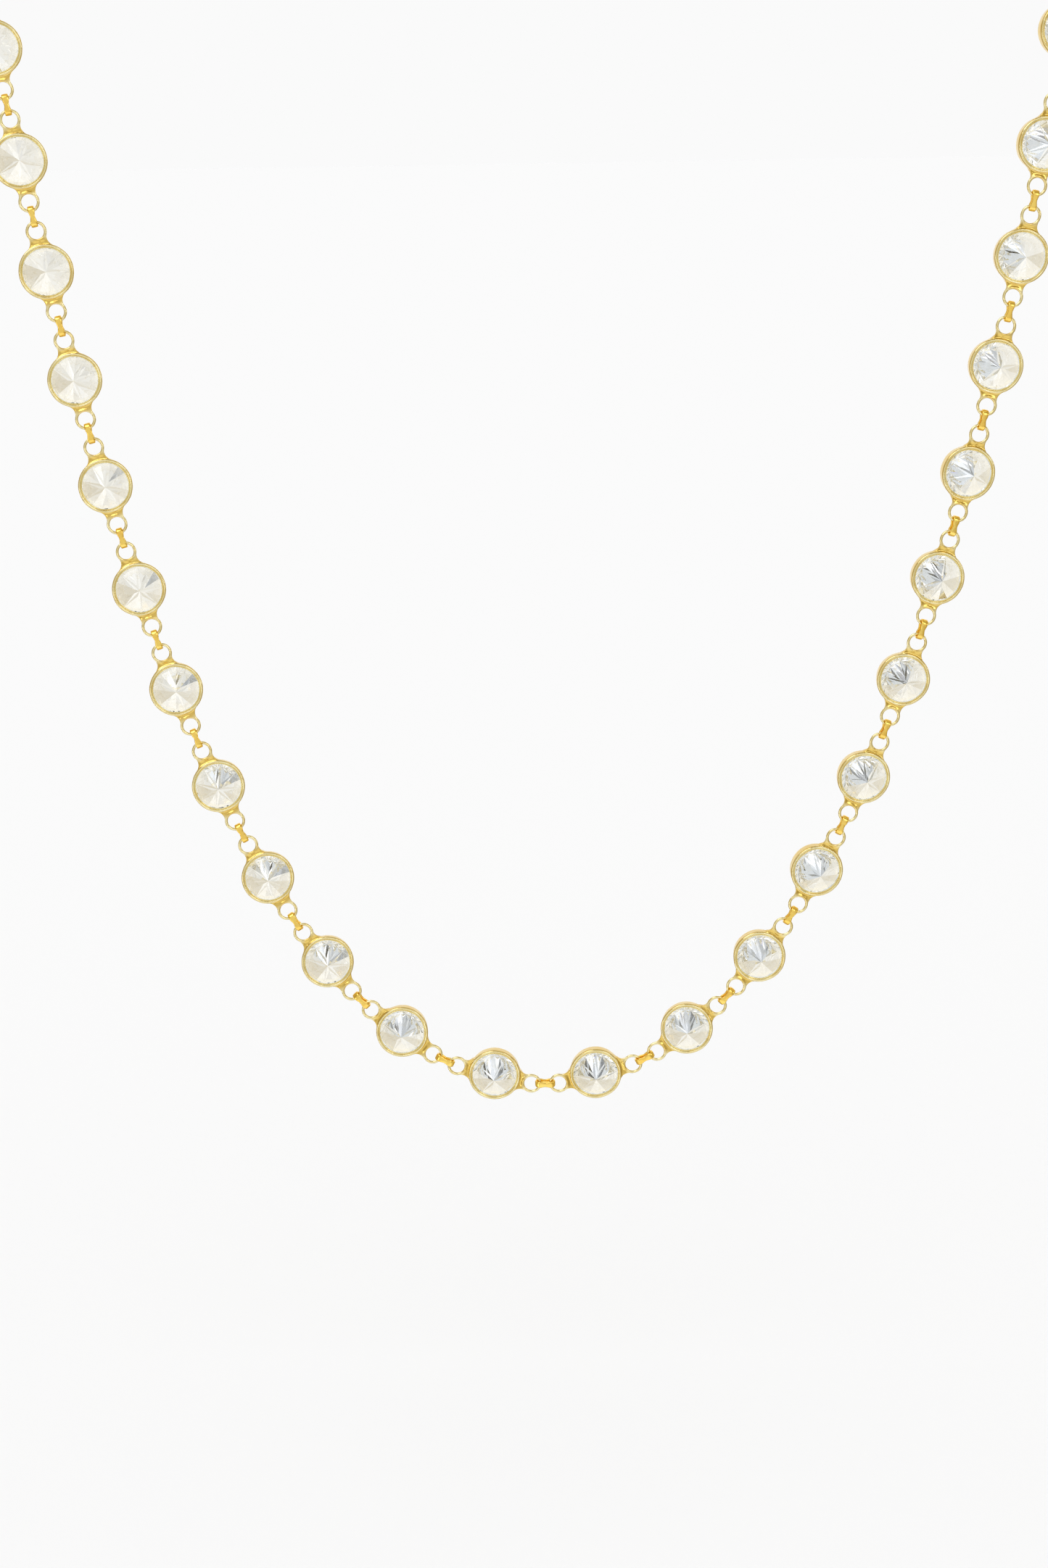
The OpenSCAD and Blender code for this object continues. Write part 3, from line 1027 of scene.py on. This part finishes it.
def clasp_shape(line, clasp):
    """The barrel clasp along X: domed barrel with a fine seam in the middle, necks and loops."""
    seam_w, seam_d = 0.09, 0.07
    half, radius, dome = clasp.barrel_l / 2, clasp.barrel_d / 2, clasp.dome_r
    neck, reach = clasp.neck_d / 2, line.clasp_loop.x
    loop_x = reach - line.loop_mid_r
    rise = math.sqrt(dome**2 - radius**2)
    # One half of the profile, as (radius, distance from the middle)
    profile = [(radius - seam_d, 0.0), (radius, seam_w)]
    profile += [(radius, rise * u) for u in (0.3, 0.6, 0.85, 1)]
    for i in range(1, DOME_STEPS + 1):
        x = rise + (half - rise) * i / DOME_STEPS
        profile.append((math.sqrt(max(dome**2 - x * x, 0)), x))
    # The neck flares where it meets the dome, and ends inside the loop's wire
    profile += [
        (neck + 0.25, half + 0.02),
        (neck + 0.08, half + 0.1),
        (neck, half + 0.24),
        (neck, loop_x),
        (0.02, loop_x + 0.05),
    ]
    full = [(r, -x) for r, x in reversed(profile[1:])] + profile
    turns = round_angles(BARREL_STEPS)
    rings = [[(x, r * math.cos(a), r * math.sin(a)) for a in turns] for r, x in full]
    points, faces = ring_strip(rings, closed=False)
    n = len(points)
    faces = [tuple(reversed(f)) for f in faces]
    faces += [tuple(range(BARREL_STEPS)), tuple(reversed(range(n - BARREL_STEPS, n)))]
    wire_r = line.bezel.loop_wire_d / 2
    loops = [
        torus(side * reach, line.loop_mid_r, wire_r, CLASP_LOOP_STEPS, CLASP_WIRE_STEPS)
        for side in (-1, 1)
    ]
    return joined([(points, faces), *loops])


class NECKLACE_OT_clasp(bpy.types.Operator):
    """Makes the barrel clasp at the nape"""

    bl_idname = "necklace.clasp"
    bl_label = "Make clasp"

    def execute(self, context):
        settings = context.scene.necklace
        line = Line(settings)
        look = settings.finish
        gold = polished_gold(
            "gold_plated_clasp_turned", look.gold, look.gold_deep_and_shade, look.gold_roughness
        )
        mesh = mesh_of("barrel_clasp", *clasp_shape(line, Plain(settings.clasp)))
        middle = Vector((0, line.clasp_loop.y, line.clasp_loop.z))
        mesh.transform(line.placed(middle, Vector((1, 0, 0)), Vector((0, 1, 0)), 1))
        piece = add_piece("barrel_clasp", mesh, gold, "gold", "clasp")
        check_place(piece, "clasp", room=0.1)
        return {"FINISHED"}


# Stage, light and camera


# Radius and middle of both tents, in metres, and the rings and corners of their mesh
TENT_R, TENT_MIDDLE = 0.9, (0, -0.019, -0.07)
TENT_RINGS, TENT_STEPS = 24, 48
# Patches of the two tents: azimuth, height, full radius, end radius, colour, strength
METAL_TENT = (
    (0, 10, 14, 50, "#F4F1EA", 0.9),
    (0, -62, 20, 50, "#FFFFFF", 1.08),
    (-40, 52, 8, 26, "#FFFFFF", 2.6),
    (31, 23, 5, 15, "#FFFFFF", 2.2),
    (-42, -13, 5, 14, "#FFFFFF", 2.0),
    (-52, -36, 3, 9, "#FFFFFF", 3.0),
    (62, 8, 3, 9, "#FFFFFF", 2.8),
    (180, 20, 30, 55, "#FFF9EE", 1.0),
)
STONE_TENT = (
    # Front half, which the facets turned away from the camera throw back
    (0, 0, 60, 85, "#DFE4E9", 1.0),
    (0, -22, 8, 16, "#C2C7CE", 1.0),
    (0, -38, 9, 15, "#FFFFFF", 1.4),
    (-17, 11, 6, 10, "#FFFFFF", 1.5),
    (18, -14, 4, 8, "#1E2430", 1.0),
    (-20, -16, 3, 6, "#646C79", 1.0),
    (40, -17, 5, 10, "#747C88", 1.0),
    (-40, -17, 5, 10, "#747C88", 1.0),
    (28, -30, 3, 6, "#9AA0D8", 1.1),
    (-31, -25, 4, 8, "#FFFFFF", 1.4),
    (33, -21, 3, 7, "#FFFFFF", 1.4),
    (8, -10, 3, 6, "#FFFFFF", 1.4),
    # Back half, seen straight through: below, beside and above
    (-85, -45, 22, 36, "#F4F0E6", 0.97),
    (110, -50, 14, 26, "#F4F0E6", 0.97),
    (-100, -38, 4, 9, "#9AA0A8", 1.0),
    (125, 6, 22, 36, "#E4DAC4", 1.0),
    (-128, 8, 14, 24, "#ECE4D2", 1.0),
    (180, 54, 20, 34, "#FFF9EC", 1.08),
)


class NECKLACE_OT_stage(bpy.types.Operator):
    """Sets the pale floor, the soft light, the two light tents and the camera"""

    bl_idname = "necklace.stage"
    bl_label = "Set stage"

    def execute(self, context):
        scene = context.scene
        scene.view_settings.view_transform = "Standard"
        # Light passes many facets and gold walls before it leaves a stone
        scene.cycles.max_bounces = 24
        scene.cycles.glossy_bounces = 16
        scene.cycles.transmission_bounces = 24
        self.set_floor(scene)
        self.set_sky(scene)
        look = scene.necklace.finish
        # The gold and the stones are lit as on separate shots: one tent for each
        around_metal = self.set_tent("tent_of_metal", look.metal_tent, METAL_TENT)
        around_metal.visible_transmission = False
        around_stones = self.set_tent("tent_of_stones", look.stone_tent, STONE_TENT)
        around_stones.visible_glossy = False
        self.set_camera(scene)
        return {"FINISHED"}

    def set_floor(self, scene):
        """A floor so wide that its edge is out of sight, just under the necklace, in metres."""
        under, reach = 0.03, 12.0
        z = CAD_BOX[0].z - under
        square = [(-reach, -reach, z), (reach, -reach, z), (reach, reach, z), (-reach, reach, z)]
        mesh = mesh_of("floor", square, [(0, 1, 2, 3)], False)
        paint = pale_floor_paint("matt_white_studio_paint", scene.necklace.finish.floor)
        mesh.materials.append(paint)
        floor = in_scene("floor", mesh)
        floor.visible_glossy = False
        floor.visible_transmission = False

    def set_sky(self, scene):
        """An even pale room: white at the horizon, a little brighter overhead."""
        look = scene.necklace.finish
        room = Vector(look.room)
        world = bpy.data.worlds.new("pale_room")
        world.use_nodes = True
        tree = world.node_tree
        tree.nodes.clear()
        way = add_node(tree, "ShaderNodeTexCoord").outputs["Generated"]
        height = add_node(tree, "ShaderNodeSeparateXYZ", inputs={"Vector": way}).outputs["Z"]
        up = ranged(tree, height, low=0.3, high=0.9, interpolation="SMOOTHSTEP")
        sky = mixed(tree, up, (*room, 1), (*(room * look.overhead), 1))
        light = add_node(tree, "ShaderNodeBackground", inputs={"Color": sky, "Strength": 1.0})
        add_node(tree, "ShaderNodeOutputWorld", inputs={"Surface": light.outputs[0]})
        scene.world = world
        world.cycles_visibility.glossy = False
        world.cycles_visibility.transmission = False

    def set_tent(self, name, base, patches):
        """A light tent round the set, which neither the camera nor the floor sees."""
        rings = []
        for i in range(1, TENT_RINGS):
            high = math.radians(-90 + 180 * i / TENT_RINGS)
            flat, z = TENT_R * math.cos(high), TENT_R * math.sin(high)
            rings.append(
                [(flat * math.cos(a), flat * math.sin(a), z) for a in round_angles(TENT_STEPS)]
            )
        points, faces = ring_strip(rings, closed=False)
        mesh = mesh_of(name, points, faces)
        cloth = tent_cloth(f"white_silk_{name}", base, patches)
        cloth.cycles.emission_sampling = "NONE"
        mesh.materials.append(cloth)
        tent = in_scene(name, mesh)
        tent.location = TENT_MIDDLE
        tent.visible_camera = False
        tent.visible_diffuse = False
        tent.visible_shadow = False
        return tent

    def set_camera(self, scene):
        """The photograph's own view: it looks down a little on the hanging front."""
        line = Line(scene.necklace)
        # Fitted to the photo: what it looks at and from how far, in mm, its angles and its lens
        target = Vector((-1.726, 0, 32.630)) - line.neck
        up_angle, round_angle, roll = (math.radians(d) for d in (13, 0.849, -0.945))
        distance, lens = 292.48, 64.81
        back = Vector(
            (
                math.sin(round_angle) * math.cos(up_angle),
                -math.cos(round_angle) * math.cos(up_angle),
                math.sin(up_angle),
            )
        )
        right = (-back).cross(Vector((0, 0, 1))).normalized()
        up = right.cross(-back)
        rolled_right = right * math.cos(roll) + up * math.sin(roll)
        rolled_up = -right * math.sin(roll) + up * math.cos(roll)
        camera = in_scene("camera", bpy.data.cameras.new("camera"))
        camera.data.sensor_width = 36
        camera.data.lens = lens
        camera.data.clip_start = 0.01
        camera.data.clip_end = 50
        m = Matrix((rolled_right, rolled_up, back)).transposed().to_4x4()
        m.translation = (target + back * distance) * MM
        camera.matrix_world = m
        scene.camera = camera


class NECKLACE_PT_panel(bpy.types.Panel):
    """Lists the necklace's steps and settings in the sidebar"""

    bl_idname = "NECKLACE_PT_panel"
    bl_label = "Bezel Station Necklace"
    bl_space_type = "VIEW_3D"
    bl_region_type = "UI"
    bl_category = "Necklace"

    def draw(self, context):
        for operator in OPERATORS:
            self.layout.operator(operator.bl_idname)
        for name in NecklaceSettings.__annotations__:
            group = getattr(context.scene.necklace, name)
            box = self.layout.box()
            box.label(text=type(group).__doc__)
            for prop in type(group).__annotations__:
                box.prop(group, prop)


OPERATORS = (
    NECKLACE_OT_stations,
    NECKLACE_OT_stones,
    NECKLACE_OT_links,
    NECKLACE_OT_clasp,
    NECKLACE_OT_stage,
)
CLASSES = (*GROUPS, NecklaceSettings, *OPERATORS, NECKLACE_PT_panel)


def register():
    for cls in CLASSES:
        bpy.utils.register_class(cls)
    bpy.types.Scene.necklace = bpy.props.PointerProperty(type=NecklaceSettings)


def unregister():
    del bpy.types.Scene.necklace
    for cls in reversed(CLASSES):
        bpy.utils.unregister_class(cls)


def main():
    register()
    bpy.ops.necklace.stations()
    bpy.ops.necklace.stones()
    bpy.ops.necklace.links()
    bpy.ops.necklace.clasp()
    bpy.ops.necklace.stage()
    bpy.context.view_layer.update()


if __name__ == "__main__":
    main()
